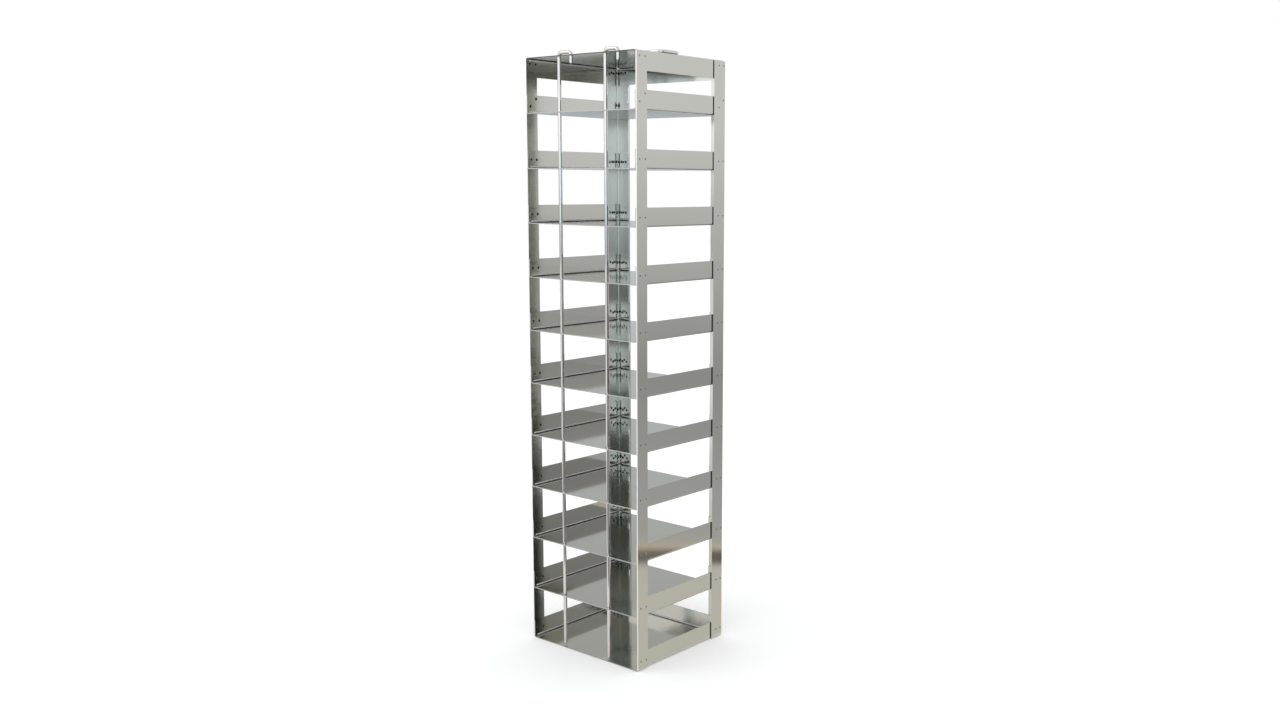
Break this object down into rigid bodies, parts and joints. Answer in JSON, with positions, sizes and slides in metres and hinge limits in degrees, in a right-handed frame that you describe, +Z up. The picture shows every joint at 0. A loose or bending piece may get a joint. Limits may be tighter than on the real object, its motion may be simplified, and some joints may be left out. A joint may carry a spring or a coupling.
{
  "type": "freezer storage rack",
  "caption": "Upright sheet-steel freezer rack with a column of open shelves for storage boxes, drop-in locking rods at the front and a fold-down wire bail on top.",
  "frame": {"origin": "centre of the footprint, on the surface the rack stands on", "axes": "+Z up along the rack's height; -Y is the open front; +X is to the right when looking at the open front"},
  "size_m": [0.1574, 0.138, 0.6338],
  "materials": {
    "sheet_steel": "mill finish stainless sheet, smooth and softly mirror-like",
    "bright_wire": "bright drawn wire"
  },
  "bodies": {
    "rack": {"left_front_post": "sheet_steel", "right_front_post": "sheet_steel", "left_back_post": "sheet_steel", "right_back_post": "sheet_steel", "top_cap": "sheet_steel", "shelf_01": "sheet_steel", "shelf_02": "sheet_steel", "shelf_03": "sheet_steel", "shelf_04": "sheet_steel", "shelf_05": "sheet_steel", "shelf_06": "sheet_steel", "shelf_07": "sheet_steel", "shelf_08": "sheet_steel", "shelf_09": "sheet_steel", "shelf_10": "sheet_steel", "bottom_tray": "sheet_steel", "bail_clip_left": "sheet_steel", "bail_clip_right": "sheet_steel"},
    "rod_left": {"locking_rod_left": "bright_wire"},
    "rod_right": {"locking_rod_right": "bright_wire"},
    "bail": {"bail_handle": "bright_wire"}
  },
  "joints": [
    {"name": "rod_left_lift", "type": "slide", "parent": "rack", "child": "rod_left", "axis": [0, 0, 1], "range_m": [0, 0.63]},
    {"name": "rod_right_lift", "type": "slide", "parent": "rack", "child": "rod_right", "axis": [0, 0, 1], "range_m": [0, 0.63]},
    {"name": "bail_fold", "type": "hinge", "parent": "rack", "child": "bail", "pos_m": [0, 0, 0.6307], "axis": [-1, 0, 0], "range_deg": [0, 180]}
  ]
}
